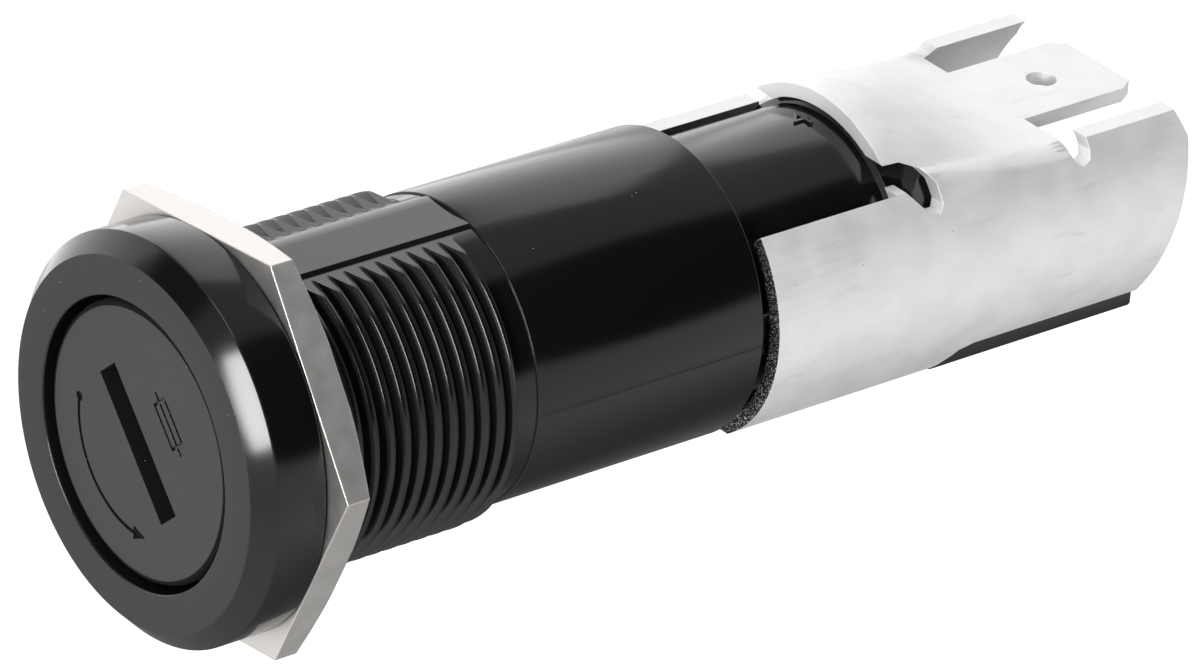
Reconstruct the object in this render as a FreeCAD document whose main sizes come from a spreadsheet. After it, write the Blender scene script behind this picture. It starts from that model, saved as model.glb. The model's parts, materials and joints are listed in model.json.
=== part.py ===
import FreeCAD, Part
import math
import os

import Sketcher
from FreeCAD import Placement, Rotation, Vector

# Panel mount fuse holder for one 6.3 x 32 mm fuse, in millimetres.
# The axis of the barrel is +Y, from the slotted cap in front to the terminals behind.
# +Z is up, on the side of the flat tab. The origin is the middle of the flange's rear seat,
# which is the plane of the panel's front face.

doc = FreeCAD.newDocument("fuse_holder")
sheet = doc.addObject("Spreadsheet::Sheet", "Sizes")


class Size:
    """A number with the sheet expression that it comes from."""

    def __init__(self, value, text):
        self.value = float(value)
        self.text = text

    def __add__(self, other):
        other = as_size(other)
        return Size(self.value + other.value, f"({self.text} + {other.text})")

    def __sub__(self, other):
        other = as_size(other)
        return Size(self.value - other.value, f"({self.text} - {other.text})")

    def __mul__(self, other):
        other = as_size(other)
        return Size(self.value * other.value, f"({self.text} * {other.text})")

    def __truediv__(self, other):
        other = as_size(other)
        return Size(self.value / other.value, f"({self.text} / {other.text})")

    def __neg__(self):
        return Size(-self.value, f"(0 - {self.text})")

    def __radd__(self, other):
        return as_size(other) + self

    def __rsub__(self, other):
        return as_size(other) - self

    def __rmul__(self, other):
        return as_size(other) * self


def as_size(number):
    return number if isinstance(number, Size) else Size(number, repr(float(number)))


def cos(angle):
    return Size(math.cos(math.radians(angle.value)), f"cos({angle.text} * 1 deg)")


def sin(angle):
    return Size(math.sin(math.radians(angle.value)), f"sin({angle.text} * 1 deg)")


def size(name, value, note):
    """Put one driving dimension in the sheet and return it as a Size."""
    size.row += 1
    sheet.set(f"A{size.row}", name)
    sheet.set(f"B{size.row}", str(value))
    sheet.setAlias(f"B{size.row}", name)
    sheet.set(f"C{size.row}", note)
    return Size(value, f"Sizes.{name}")


size.row = 0

# Clearances that several fits share
fit_gap = size("fit_gap", 0.03, "gap between pieces that fit together")
rest_gap = size("rest_gap", 0.05, "plunger to the fuse, and spring to its seats")

# Fuse
fuse_length = size("fuse_length", 31.8, "length of the fuse link")
fuse_radius = size("fuse_radius", 3.17, "fuse's end caps")
fuse_cap_length = size("fuse_cap_length", 6.3, "fuse's end caps along the axis")
fuse_cap_wall = size("fuse_cap_wall", 0.3, "fuse's end caps")
glass_wall = size("glass_wall", 0.6, "fuse's glass tube")
element_radius = size("element_radius", 0.12, "fuse wire")

# Carrier's clip
clip_wall = size("clip_wall", 0.35, "clip's sheet")
clip_flare = size("clip_flare", 1.03, "fuse to the inside of the clip's flared mouth")
clip_rim_width = size("clip_rim_width", 1.1, "rim of the clip")
clip_slit = size("clip_slit", 0.8, "slits between the clip's fingers")
clip_mouth = fuse_radius + clip_flare
clip_rim = clip_mouth + clip_rim_width

# Cap and sleeve
sleeve_floor = size("sleeve_floor", 0.1, "seat to the cavity's floor")
sleeve_room = size("sleeve_room", 0.4, "clip's mouth to the sleeve's cavity")
sleeve_wall = size("sleeve_wall", 1.9, "wall of the sleeve")
sleeve_past = size("sleeve_past", 1.15, "sleeve past the fuse's front cap")
fuse_inset = size("fuse_inset", 0.1, "fuse's face to the clip's floor")
cap_edge = size("cap_edge", 1.0, "cap's disc past the sleeve")
cap_inset = size("cap_inset", 0.35, "cap's face behind the front ring")
cap_clearance = size("cap_clearance", 0.3, "cap's disc to the recess, all round and behind")
cap_round = size("cap_round", 0.35, "rounding of the cap's front edge")
slot_length = size("slot_length", 8.4, "slot for a screwdriver or coin")
slot_width = size("slot_width", 1.6, "slot's width")
slot_depth = size("slot_depth", 1.5, "slot's depth")
slot_angle = size("slot_angle", -47, "slot's slope at rest, in degrees")
arrow_radius = size("arrow_radius", 5.1, "engraved turning arrow")
arrow_line = size("arrow_line", 0.24, "line of the arrow")
arrow_depth = size("arrow_depth", 0.16, "depth of the arrow")
arrow_start = size("arrow_start", 176, "tail of the arrow, in degrees")
arrow_end = size("arrow_end", 272, "tip of the arrow, in degrees")
seal_groove_depth = size("seal_groove_depth", 1.05, "depth of the seal's groove")
seal_groove_width = size("seal_groove_width", 1.3, "seal's groove along the axis")
seal_section = size("seal_section", 0.6, "radius of the seal's section")
seal_middle = size("seal_middle", 1.6, "middle of the seal in front of the seat")
fuse_start = sleeve_floor + clip_wall + fuse_inset
sleeve_bore = clip_mouth + sleeve_room
sleeve_radius = sleeve_bore + sleeve_wall
sleeve_end = fuse_start + fuse_cap_length + sleeve_past
cap_radius = sleeve_radius + cap_edge
seal_groove = cap_radius - seal_groove_depth

# Bayonet
turn_angle = size("turn_angle", 90, "turn of the cap, in degrees")
eject_travel = size("eject_travel", 3.0, "travel of the cap over that turn")
closed_angle = size("closed_angle", -30, "place of one lug when closed, in degrees")
lug_reach = size("lug_reach", 0.75, "lugs out of the sleeve")
lug_root = size("lug_root", 0.6, "how deep the lugs root in the sleeve, from its bore")
lug_width = size("lug_width", 2.6, "lug along the circle")
lug_height = size("lug_height", 1.4, "lug along the axis")
lug_inset = size("lug_inset", 1.8, "middle of the lug to the sleeve's end")
lug_gap = size("lug_gap", 0.25, "lug to the floor and the ends of its path")
ramp_height = size("ramp_height", 2.5, "ramp along the axis")
ramp_spare = size("ramp_spare", 14, "ramp past the lug's middle, in degrees")
entry_spare = size("entry_spare", 0.4, "how far the bayonet's cuts start inside the bore")
lug_radius = sleeve_radius + lug_reach
lug_middle = sleeve_end - lug_inset
ramp_radius = lug_radius + lug_gap
entry_width = lug_width + lug_gap * 2

# Bores inside
bore_gap = size("bore_gap", 0.1, "sleeve to its bore")
bore_spare = size("bore_spare", 0.5, "bore past the sleeve's end")
ring_gap = size("ring_gap", 0.3, "clip's rim to the bore of the contact's ring")
fuse_gap = size("fuse_gap", 0.58, "fuse to its bore")
chamber_step = size("chamber_step", 0.35, "spring chamber past the fuse's bore")
chamber_lead = size("chamber_lead", 0.85, "spring chamber starts before the fuse's end")
recess_floor = size("recess_floor", 0.2, "plastic left between recess floor and seat plane")
bore_radius = sleeve_radius + bore_gap
bore_end = sleeve_end + bore_spare
recess_radius = cap_radius + cap_clearance
ring_bore = clip_rim + ring_gap
fuse_bore = fuse_radius + fuse_gap
chamber_radius = fuse_bore + chamber_step
chamber_start = fuse_start + fuse_length - chamber_lead

# Plunger, its spring, and the rivet
plunger_gap = size("plunger_gap", 0.15, "plunger's head to the fuse's bore")
plunger_head = size("plunger_head", 1.25, "plunger's head along the axis")
plunger_stem = size("plunger_stem", 1.3, "plunger's stem")
plunger_stem_length = size("plunger_stem_length", 2.2, "plunger's stem along the axis")
spring_space = size("spring_space", 5.3, "plunger's head to the rivet's head")
spring_inset = size("spring_inset", 1.25, "middle of the spring's wire to the chamber's wall")
spring_wire = size("spring_wire", 0.3, "radius of the spring's wire")
spring_turns = size("spring_turns", 4, "turns of the spring")
rivet_radius = size("rivet_radius", 1.2, "shank of the rear rivet")
rivet_head_rim = size("rivet_head_rim", 0.55, "rivet's head past the middle of the spring's wire")
rivet_head_height = size("rivet_head_height", 0.5, "that head's thickness")
rivet_tail = size("rivet_tail", 2.1, "rivet's closed end")
rivet_tail_height = size("rivet_tail_height", 0.6, "closed end's thickness")
end_wall = size("end_wall", 1.8, "thickness of the tube's end wall")
plunger_radius = fuse_bore - plunger_gap
spring_radius = chamber_radius - spring_inset
rivet_head = spring_radius + rivet_head_rim
tube_end = (fuse_start + fuse_length + plunger_head + spring_space
            + rivet_head_height + end_wall)

# Threaded barrel and flange
barrel_radius = size("barrel_radius", 9.0, "crest of the M18 thread")
thread_length = size("thread_length", 14.1, "seat to the end of the thread")
thread_bevel = size("thread_bevel", 0.6, "lead-in at the end of the thread")
relief_depth = size("relief_depth", 0.1, "plain stretch between the seat and the thread")
relief_length = size("relief_length", 2.3, "seat to the start of the thread")
neck_depth = size("neck_depth", 0.67, "neck behind the thread, under its crest")
neck_length = size("neck_length", 1.3, "neck along the axis")
flat_depth = size("flat_depth", 1.05, "flat that stops the barrel turning, under the crest")
key_width = size("key_width", 3.7, "rib along the flat")
key_rise = size("key_rise", 0.3, "rib above the flat")
flange_reach = size("flange_reach", 2.0, "flange past the thread")
flange_depth = size("flange_depth", 4.0, "front ring to the panel seat")
flange_chamfer = size("flange_chamfer", 1.05, "bevel between front ring and rim")
relief_radius = barrel_radius - relief_depth
neck_radius = barrel_radius - neck_depth
flat_height = barrel_radius - flat_depth
key_height = flat_height + key_rise
flange_radius = barrel_radius + flange_reach
body_start = thread_length + neck_length

# Body and rear tube
body_step = size("body_step", 0.57, "plain body under the thread's crest")
tube_step = size("tube_step", 1.28, "rear tube under the body")
tube_length = size("tube_length", 10.9, "rear tube along the axis")
collar_length = size("collar_length", 2.8, "collar that carries the sheet")
collar_rise = size("collar_rise", 0.3, "collar above the tube")
tube_bevel = size("tube_bevel", 0.8, "bevel round the end of the tube")
body_radius = barrel_radius - body_step
shoulder = tube_end - tube_length
tube_radius = body_radius - tube_step
collar_start = tube_end - collar_length
collar_radius = tube_radius + collar_rise

# Tabs, 6.3 x 0.8 mm
sheet_wall = size("sheet_wall", 0.8, "thickness of both terminals")
tab_width = size("tab_width", 6.3, "width of both tabs")
tab_reach = size("tab_reach", 18.86, "end of the tube to the end of the tabs")
tab_hole = size("tab_hole", 0.85, "radius of the hole in each tab")
tab_hole_inset = size("tab_hole_inset", 4.01, "end of the tab to its hole")
tab_corner = size("tab_corner", 0.9, "corner cut of each tab along the axis")
tab_corner_side = size("tab_corner_side", 0.55, "corner cut of each tab across")
tab_top = size("tab_top", 5.2, "axis to the top of the upper tab")
blade_level = size("blade_level", 4.6, "axis to the middle of the lower blade")
blade_upright = size("blade_upright", 2.6, "axis to the top of the blade's upright")
bend_radius = size("bend_radius", 0.6, "inside radius of the blade's bend")
tab_end = tube_end + tab_reach
tab_hole_place = tab_end - tab_hole_inset

# Terminal sheet wrapped round the rear
crown_gap = size("crown_gap", 0.07, "crown to the collar")
crown_overlap = size("crown_overlap", 0.9, "crown over the end of the tube")
crown_slope = size("crown_slope", 10.7, "crown's front edge to where it is flat")
crown_land = size("crown_land", 1.1, "flat stretch of the crown")
crown_corner = size("crown_corner", 2.6, "crown's radius less its half width between the bends")
crown_bend = size("crown_bend", 0.53, "height of the bend from wing to flat crown")
crown_spare = size("crown_spare", 0.6, "bend in front starts above the wings' edges, in degrees")
crown_reach = size("crown_reach", -62, "lowest part of the crown's section, in degrees")
crown_mouth = size("crown_mouth", 1.12, "crown's front corner above the wings' top edges")
wing_spread = size("wing_spread", 0.3, "wings' radius past the crown's")
wing_drop = size("wing_drop", 0.15, "wings' centre below the axis")
wing_gap = size("wing_gap", 0.7, "shoulder to the wings' front edge")
wing_front_slant = size("wing_front_slant", 0.45, "that edge leans back by this much")
wing_rise = size("wing_rise", 0.12, "wings' top edges above the tab")
wing_past = size("wing_past", 0.04, "wings past the end of the tab")
wing_rear_slant = size("wing_rear_slant", 2.3, "rear edge leans forward by this much")
wing_corner = size("wing_corner", 0.9, "cut at the wings' upper rear corner")
notch_length = size("notch_length", 2.1, "side notch along the axis")
notch_inset = size("notch_inset", 0.6, "crown's front edge to the side notch")
notch_depth = size("notch_depth", 1.32, "side notch under the wings' top edges")
notch_round = size("notch_round", 0.5, "rounding in the bottom of the notch")
slit_length = size("slit_length", 1.3, "slit behind the crown along the axis")
slit_depth = size("slit_depth", 1.22, "that slit under the wings' top edges")
crown_radius = collar_radius + crown_gap + sheet_wall
crown_start = tube_end - crown_overlap
crown_flat = crown_start + crown_slope
crown_end = crown_flat + crown_land
crown_half = crown_radius - crown_corner
wing_radius = crown_radius + wing_spread
wing_front = shoulder + wing_gap
wing_rear = tab_end + wing_past
wing_top = tab_top + wing_rise
notch_front = crown_start + notch_inset
notch_rear = notch_front + notch_length
notch_bottom = wing_top - notch_depth
slit_rear = crown_end + slit_length
slit_bottom = wing_top - slit_depth

# Side pads under the wings, and the rear tray under the lower blade
pad_gap = size("pad_gap", 0.17, "side pads to the wings")
pad_height = size("pad_height", 2.4, "height of the side pads")
tray_half = size("tray_half", 4.8, "half width of the tray")
tray_under = size("tray_under", 0.05, "underside of the tray below the collar")
tray_rim = size("tray_rim", 0.6, "tray's side walls under the middle of the blade")
tray_wall = size("tray_wall", 0.9, "tray's side walls")
tray_floor = size("tray_floor", 0.9, "tray's floor")
tray_gap = size("tray_gap", 4.2, "end of the tube to the tray")
tray_short = size("tray_short", 0.16, "end of the tray to the end of the tab")
tray_web = size("tray_web", 2.2, "solid web at the front of the tray")
root_inset = size("root_inset", 0.8, "tray's root inside the tray's sides")
root_height = size("root_height", 1.2, "thickness of the tray's root")
step_gap = size("step_gap", 0.3, "step in the wings' lower edge to the tray")
sill_gap = size("sill_gap", 0.35, "wings' rear lower edge above the tray's rim")
keel_rise = size("keel_rise", 0.25, "wings' front lower edge above the tray's underside")
pad_half = wing_radius - sheet_wall - pad_gap
tray_bottom = collar_radius + tray_under
tray_top = blade_level + tray_rim
tray_start = tube_end + tray_gap
tray_end = tab_end - tray_short
root_half = tray_half - root_inset
wing_keel = tray_bottom - keel_rise
wing_sill = tray_top - sill_gap
wing_step = tray_start - step_gap

# Front contact
ring_wall = size("ring_wall", 0.4, "front contact's sheet")
ring_length = size("ring_length", 5.6, "front contact's ring along the axis")
ring_spare = size("ring_spare", 0.9, "ring to the end of its bore")
lip_gap = size("lip_gap", 0.1, "ring's front lip past the clip's mouth")
contact_gap = size("contact_gap", 0.1, "clip's rim to the lip when closed")
arm_width = size("arm_width", 3.0, "arm of the front contact")
arm_reach = size("arm_reach", 4.2, "shoulder to where the arm turns outward")
arm_pad = size("arm_pad", 2.0, "pad that bears on the sheet")
arm_clearance = size("arm_clearance", 0.2, "arm to the walls of its channel")
arm_inset = size("arm_inset", 0.08, "arm's outer face inside the ring's crest")
pad_clearance = size("pad_clearance", 0.3, "pad to the inside of the sheet, at its middle")
ring_lip = clip_mouth + lip_gap
ring_bore_end = bore_end + ring_length + ring_spare
arm_end = shoulder + arm_reach

# Nut
nut_gap = size("nut_gap", 0.05, "nut's bore over the crests")
nut_reach = size("nut_reach", 3.53, "nut's corners past the thread")
nut_height = size("nut_height", 1.9, "nut's thickness")
nut_rest = size("nut_rest", 0.15, "nut to the seat plane at rest")
nut_chamfer = size("nut_chamfer", 1.53, "nut's corners past its rear face")
nut_bevel = size("nut_bevel", 0.55, "nut's bevel along the axis")
nut_lead = size("nut_lead", 0.3, "bevel at both ends of the nut's bore")
nut_angle = size("nut_angle", 6, "corner of the nut from +X, in degrees")
nut_bore = barrel_radius + nut_gap
nut_radius = barrel_radius + nut_reach
nut_chamfer_radius = nut_radius - nut_chamfer

far = size("far", 14, "reach of the cutting shapes")

doc.recompute()


def bind(thing, name, amount):
    """Set one property now and tie it to the sheet."""
    thing.setExpression(name, as_size(amount).text)


def origin_plane(body, role):
    return next(f for f in body.Origin.OriginFeatures if f.Role == role)


def outline(holder, role, name, points):
    """Add a closed sketch on a plane of its body, with its corners tied to the sheet."""
    sketch = holder.newObject("Sketcher::SketchObject", name)
    sketch.AttachmentSupport = [(origin_plane(holder, role), "")]
    sketch.MapMode = "FlatFace"
    corners = [(as_size(x), as_size(y)) for x, y in points]
    count = len(corners)
    lines = []
    for i in range(count):
        start = Vector(corners[i][0].value, corners[i][1].value, 0)
        end = Vector(corners[(i + 1) % count][0].value, corners[(i + 1) % count][1].value, 0)
        lines.append(Part.LineSegment(start, end))
    sketch.addGeometry(lines, False)
    joined = [Sketcher.Constraint("Coincident", i, 2, (i + 1) % count, 1) for i in range(count)]
    sketch.addConstraint(joined)
    for i, (x, y) in enumerate(corners):
        for kind, axis, amount in (("DistanceX", -2, x), ("DistanceY", -1, y)):
            if amount.value == 0:
                sketch.addConstraint(Sketcher.Constraint("PointOnObject", i, 1, axis))
                continue
            at = sketch.addConstraint(Sketcher.Constraint(kind, -1, 1, i, 1, amount.value))
            sketch.setExpression(f"Constraints[{at}]", amount.text)
    return sketch


def new_body(label):
    body = doc.addObject("PartDesign::Body", label)
    body.Label = label
    return body


def turn(body, name, points, kind="PartDesign::Revolution"):
    """Revolve a closed outline of (radius, place along the axis) corners about +Y."""
    sketch = outline(body, "XY_Plane", name + "_profile", points)
    feature = body.newObject(kind, name)
    feature.Profile = sketch
    feature.ReferenceAxis = (sketch, ["V_Axis"])
    feature.Angle = 360
    sketch.Visibility = False
    body.Tip = feature
    return feature


def block(holder, name, kind, low, high):
    """A box between two corners, as a feature of a body or as a free box."""
    if holder is None:
        feature = doc.addObject(kind, name)
    else:
        feature = holder.newObject(kind, name)
    for prop, axis, a, b in zip(("Length", "Width", "Height"), "xyz", low, high):
        bind(feature, prop, as_size(b) - as_size(a))
        bind(feature, f"Placement.Base.{axis}", a)
    if holder is not None:
        holder.Tip = feature
    return feature


def rod(name, radius, start, end):
    """A cylinder along +Y between two places on the axis."""
    feature = doc.addObject("Part::Cylinder", name)
    bind(feature, "Radius", radius)
    bind(feature, "Height", as_size(end) - as_size(start))
    feature.Placement = Placement(Vector(0, 0, 0), Rotation(Vector(1, 0, 0), -90))
    bind(feature, "Placement.Base.y", start)
    return feature


def cut(name, base, tool):
    feature = doc.addObject("Part::Cut", name)
    feature.Base = base
    feature.Tool = tool
    return feature


def fuse(name, shapes):
    feature = doc.addObject("Part::MultiFuse", name)
    feature.Shapes = shapes
    return feature


def common(name, base, tool):
    feature = doc.addObject("Part::Common", name)
    feature.Base = base
    feature.Tool = tool
    return feature


def turned_bar(name, half_length, width, start, end, angle):
    """A flat bar through the axis, turned about +Y so that it lies at an angle from +X."""
    bar = doc.addObject("Part::Box", name)
    bind(bar, "Length", half_length * 2)
    bind(bar, "Width", as_size(end) - as_size(start))
    bind(bar, "Height", width)
    half = width / 2
    bar.Placement = Placement(Vector(0, 0, 0), Rotation(Vector(0, 1, 0), -angle.value))
    bind(bar, "Placement.Rotation.Angle", angle * -1)
    bind(bar, "Placement.Base.x", half * sin(angle) - half_length * cos(angle))
    bind(bar, "Placement.Base.y", start)
    bind(bar, "Placement.Base.z", -(half_length * sin(angle)) - half * cos(angle))
    return bar


# Housing: flange, barrel, body, rear tube and tray in one moulding


def make_housing():
    body = new_body("housing_blank")
    turn(body, "outside", [
        (0, -flange_depth),
        (flange_radius - flange_chamfer, -flange_depth),
        (flange_radius, flange_chamfer - flange_depth),
        (flange_radius, 0),
        (relief_radius, 0),
        (relief_radius, relief_length),
        (barrel_radius, relief_length + barrel_radius - relief_radius),
        (barrel_radius, thread_length - thread_bevel),
        (neck_radius, thread_length),
        (neck_radius, body_start),
        (body_radius, body_start),
        (body_radius, shoulder),
        (tube_radius, shoulder),
        (tube_radius, collar_start),
        (collar_radius, collar_start + collar_radius - tube_radius),
        (collar_radius, tube_end - tube_bevel),
        (collar_radius - tube_bevel, tube_end),
        (0, tube_end),
    ])
    half_key = key_width / 2
    for name, low, high, level in (
        ("near_flat", half_key, far, flat_height),
        ("rib_top", -half_key, half_key, key_height),
        ("far_flat", -far, -half_key, flat_height),
    ):
        block(body, name, "PartDesign::SubtractiveBox", (low, 0, level), (high, body_start, far))
    block(body, "side_pads", "PartDesign::AdditiveBox",
          (-pad_half, shoulder, -(pad_height / 2)), (pad_half, tube_end - tube_bevel, pad_height / 2))
    root_bottom = -(tray_bottom - tray_floor)
    block(body, "tray_root", "PartDesign::AdditiveBox",
          (-root_half, tube_end - end_wall, root_bottom),
          (root_half, tray_start + tray_web, root_bottom + root_height))
    block(body, "tray", "PartDesign::AdditiveBox",
          (-tray_half, tray_start, -tray_bottom), (tray_half, tray_end, -tray_top))
    block(body, "tray_hollow", "PartDesign::SubtractiveBox",
          (tray_wall - tray_half, tray_start + tray_web, root_bottom),
          (tray_half - tray_wall, tray_end + tray_wall, 0))
    turn(body, "core", [
        (0, -flange_depth - cap_inset),
        (recess_radius, -flange_depth - cap_inset),
        (recess_radius, -recess_floor),
        (bore_radius, -recess_floor),
        (bore_radius, bore_end),
        (ring_bore, bore_end),
        (ring_bore, ring_bore_end),
        (fuse_bore, ring_bore_end),
        (fuse_bore, chamber_start),
        (chamber_radius, chamber_start),
        (chamber_radius, tube_end - end_wall),
        (rivet_radius + fit_gap, tube_end - end_wall),
        (rivet_radius + fit_gap, tube_end + end_wall),
        (0, tube_end + end_wall),
    ], "PartDesign::Groove")
    half_arm = arm_width / 2 + arm_clearance
    block(body, "arm_channel", "PartDesign::SubtractiveBox",
          (0, bore_end, -half_arm), (ring_bore, arm_end, half_arm))
    block(body, "arm_window", "PartDesign::SubtractiveBox",
          (fuse_bore, arm_end - ring_wall - arm_clearance, -half_arm),
          (far, arm_end + arm_pad + arm_clearance, half_arm))
    tools = [make_ramp(0), make_ramp(180), make_entry()]
    housing = cut("housing", body, fuse("bayonet_cuts", tools))
    return housing


def make_ramp(half_turn):
    """The helical path of one lug, from the entry slot to the closed place."""
    sweep = turn_angle + ramp_spare * 2
    rise = eject_travel * sweep / turn_angle
    first = lug_middle - eject_travel - eject_travel * ramp_spare / turn_angle
    start_angle = closed_angle + turn_angle + ramp_spare
    inner = bore_radius - entry_spare
    bottom = first.value - ramp_height.value / 2
    corners = [
        Vector(inner.value, bottom, 0),
        Vector(ramp_radius.value, bottom, 0),
        Vector(ramp_radius.value, bottom + ramp_height.value, 0),
        Vector(inner.value, bottom + ramp_height.value, 0),
    ]
    profile = Part.makePolygon(corners + corners[:1])
    helix = Part.makeHelix(rise.value * 360 / sweep.value, rise.value, bore_radius.value)
    helix.rotate(Vector(0, 0, 0), Vector(1, 0, 0), -90)
    helix.translate(Vector(0, bottom, 0))
    pipe = Part.BRepOffsetAPI.MakePipeShell(Part.Wire(helix.Edges))
    pipe.setBiNormalMode(Vector(0, 1, 0))
    pipe.add(profile)
    pipe.build()
    pipe.makeSolid()
    ramp = doc.addObject("Part::Feature", f"lug_ramp_{half_turn}")
    ramp.Shape = pipe.shape()
    turned = Rotation(Vector(0, 1, 0), -(start_angle.value + half_turn))
    ramp.Placement = Placement(Vector(0, 0, 0), turned)
    return ramp


def make_entry():
    """Two slots that let the lugs in from the recess, at the open end of the ramps."""
    reach = lug_middle - eject_travel + ramp_height / 2
    return turned_bar("lug_entries", ramp_radius, entry_width, -recess_floor - 0.1, reach,
                      closed_angle + turn_angle)


# Cap with its sleeve, lugs, slot and turning arrow


def make_cap():
    body = new_body("cap_blank")
    face = cap_inset - flange_depth
    back = -recess_floor - cap_clearance
    groove_half = seal_groove_width / 2
    turn(body, "cap_turning", [
        (0, face),
        (cap_radius - cap_round, face),
        (cap_radius - cap_round * 0.3, face + cap_round * 0.3),
        (cap_radius, face + cap_round),
        (cap_radius, -seal_middle - groove_half),
        (seal_groove, -seal_middle - groove_half),
        (seal_groove, -seal_middle + groove_half),
        (cap_radius, -seal_middle + groove_half),
        (cap_radius, back),
        (sleeve_radius, back),
        (sleeve_radius, sleeve_end),
        (sleeve_bore, sleeve_end),
        (sleeve_bore, sleeve_floor),
        (0, sleeve_floor),
    ])
    lugs = turned_bar("lugs", lug_radius, lug_width, lug_middle - lug_height / 2,
                      lug_middle + lug_height / 2, closed_angle)
    hollow = rod("lug_hollow", sleeve_bore + lug_root, lug_middle - lug_height, lug_middle + lug_height)
    slot = turned_bar("driver_slot", slot_length / 2, slot_width, face - slot_depth,
                      face + slot_depth, slot_angle)
    whole = fuse("cap_with_lugs", [body, cut("lug_pair", lugs, hollow)])
    engraving = make_arrow(face)
    return cut("carrier_cap", whole, fuse("cap_marks", [slot, engraving]))


def make_arrow(face):
    """A thin arc with a round tail and an arrow head, for the direction that opens the cap."""
    radius = arrow_radius.value
    line = arrow_line.value
    depth = arrow_depth.value
    level = face.value

    def at(distance, angle):
        turned = math.radians(angle)
        return Vector(distance * math.cos(turned), level - depth, distance * math.sin(turned))

    start, end = arrow_start.value, arrow_end.value
    middle = (start + end) / 2
    outer, inner = radius + line / 2, radius - line / 2
    band = Part.Wire([
        Part.Arc(at(outer, start), at(outer, middle), at(outer, end)).toShape(),
        Part.makeLine(at(outer, end), at(inner, end)),
        Part.Arc(at(inner, end), at(inner, middle), at(inner, start)).toShape(),
        Part.makeLine(at(inner, start), at(outer, start)),
    ])
    head = math.degrees(3.6 * line / radius)
    tip = Part.makePolygon([
        at(radius + 1.7 * line, end - head * 0.2),
        at(radius, end + head),
        at(radius - 1.7 * line, end - head * 0.2),
        at(radius + 1.7 * line, end - head * 0.2),
    ])
    through = Vector(0, depth * 2, 0)
    tail = Part.makeCylinder(line * 1.1, depth * 2, at(radius, start), Vector(0, 1, 0))
    shape = Part.Face(band).extrude(through).fuse([Part.Face(tip).extrude(through), tail])
    arrow = doc.addObject("Part::Feature", "turning_arrow")
    arrow.Shape = shape
    return arrow


def make_seal():
    seal = doc.addObject("Part::Torus", "cap_seal")
    bind(seal, "Radius1", seal_groove + seal_section + fit_gap)
    bind(seal, "Radius2", seal_section)
    seal.Placement = Placement(Vector(0, 0, 0), Rotation(Vector(1, 0, 0), -90))
    bind(seal, "Placement.Base.y", -seal_middle)
    return seal


# Clip that grips the fuse in the carrier


def make_clip():
    body = new_body("clip_blank")
    floor = sleeve_floor + fit_gap
    grip = fuse_radius + fit_gap
    knee = fuse_start + fuse_cap_length * 0.7
    rim = sleeve_end + fit_gap
    turn(body, "clip_turning", [
        (0, floor),
        (grip + clip_wall, floor),
        (grip + clip_wall, knee),
        (clip_mouth + clip_wall * 0.9, rim),
        (clip_rim, rim),
        (clip_rim, rim + clip_wall),
        (clip_mouth, rim + clip_wall),
        (grip, knee),
        (grip, floor + clip_wall),
        (0, floor + clip_wall),
    ])
    slits = [
        turned_bar(f"clip_slit_{i}", clip_rim * 1.2, clip_slit, fuse_start + clip_wall,
                   sleeve_end + clip_wall * 2, as_size(45 + 90 * i))
        for i in range(2)
    ]
    return cut("carrier_clip", body, fuse("clip_slits", slits))


# Fuse link: glass tube, two end caps and the wire


def make_fuse():
    start = fuse_start
    end = fuse_start + fuse_length
    glass_radius = fuse_radius - fuse_cap_wall - fit_gap
    glass_ends = fuse_cap_wall + fit_gap
    tube = cut("fuse_tube",
               rod("glass_outside", glass_radius, start + glass_ends, end - glass_ends),
               rod("glass_inside", glass_radius - glass_wall, start, end))
    pieces = [tube]
    inside = glass_radius + fit_gap
    for name, face, way in (("front", start, 1), ("rear", end, -1)):
        body = new_body(f"fuse_cap_{name}")
        turn(body, f"fuse_cap_{name}_turning", [
            (0, face),
            (fuse_radius, face),
            (fuse_radius, face + fuse_cap_length * way),
            (inside, face + fuse_cap_length * way),
            (inside, face + fuse_cap_wall * way),
            (0, face + fuse_cap_wall * way),
        ])
        pieces.append(body)
    wire = rod("fuse_wire", element_radius, start + fuse_cap_wall, end - fuse_cap_wall)
    pieces.append(wire)
    return pieces


# Front contact: ring in the barrel, arm along the tube, pad against the sheet


def make_front_contact():
    body = new_body("front_contact")
    lip = sleeve_end + fit_gap + clip_wall + contact_gap
    outer = ring_bore - fit_gap
    turn(body, "contact_ring", [
        (ring_lip, lip),
        (outer, lip),
        (outer, lip + ring_length),
        (outer - ring_wall, lip + ring_length),
        (outer - ring_wall, lip + ring_wall),
        (ring_lip, lip + ring_wall),
    ])
    half = arm_width / 2
    top = outer - arm_inset
    inner = top - ring_wall
    skin = wing_radius - sheet_wall - pad_clearance
    block(body, "arm", "PartDesign::AdditiveBox",
          (inner, lip + ring_wall, -half), (top, arm_end, half))
    block(body, "arm_leg", "PartDesign::AdditiveBox",
          (inner, arm_end - ring_wall, -half), (skin, arm_end, half))
    block(body, "arm_pad_plate", "PartDesign::AdditiveBox",
          (skin - ring_wall, arm_end - ring_wall, -half), (skin, arm_end + arm_pad, half))
    return body


# Plunger, its spring, and the rivet that holds the rear blade


def make_plunger():
    body = new_body("plunger")
    front = fuse_start + fuse_length + rest_gap
    back = front + plunger_head
    turn(body, "plunger_turning", [
        (0, front),
        (plunger_radius * 0.8, front),
        (plunger_radius, front + plunger_head * 0.4),
        (plunger_radius, back),
        (plunger_stem, back),
        (plunger_stem, back + plunger_stem_length * 0.8),
        (plunger_stem * 0.7, back + plunger_stem_length),
        (0, back + plunger_stem_length),
    ])
    return body


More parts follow.
